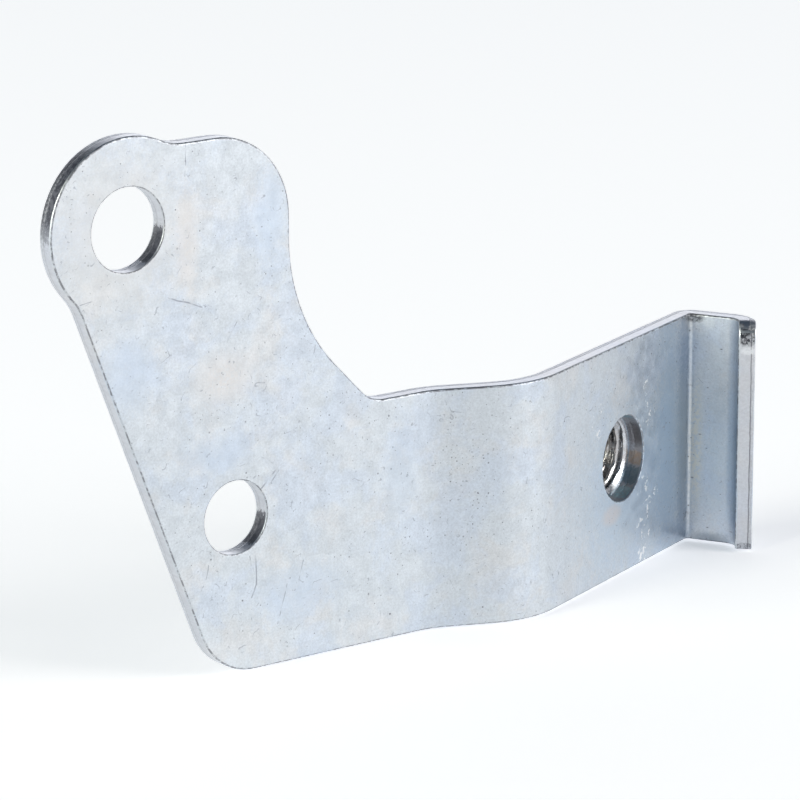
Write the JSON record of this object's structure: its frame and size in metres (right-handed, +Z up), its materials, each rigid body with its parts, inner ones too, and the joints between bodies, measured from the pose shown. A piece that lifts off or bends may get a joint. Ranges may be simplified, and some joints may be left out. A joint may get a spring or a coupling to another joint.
{
  "type": "stamped metal bracket",
  "caption": "Folded sheet-metal bracket: a flat plate with plain bolt holes carries a stepped arm with a weld nut behind it and a short lip at its end.",
  "frame": {"origin": "centre of the upper hole on the plate's back face", "axes": "+X along the plate towards the arm, +Z up along the fold lines, -Y out of the plate's front face"},
  "size_m": [0.1095, 0.0205, 0.0666],
  "materials": {
    "zinc_sheet": "bright zinc plate with a faint blue-white passivate, satin rolled grain",
    "zinc_nut": "bright zinc plate on a machined nut"
  },
  "bodies": {
    "root": {"bracket_sheet": "zinc_sheet", "weld_nut": "zinc_nut"}
  },
  "joints": []
}
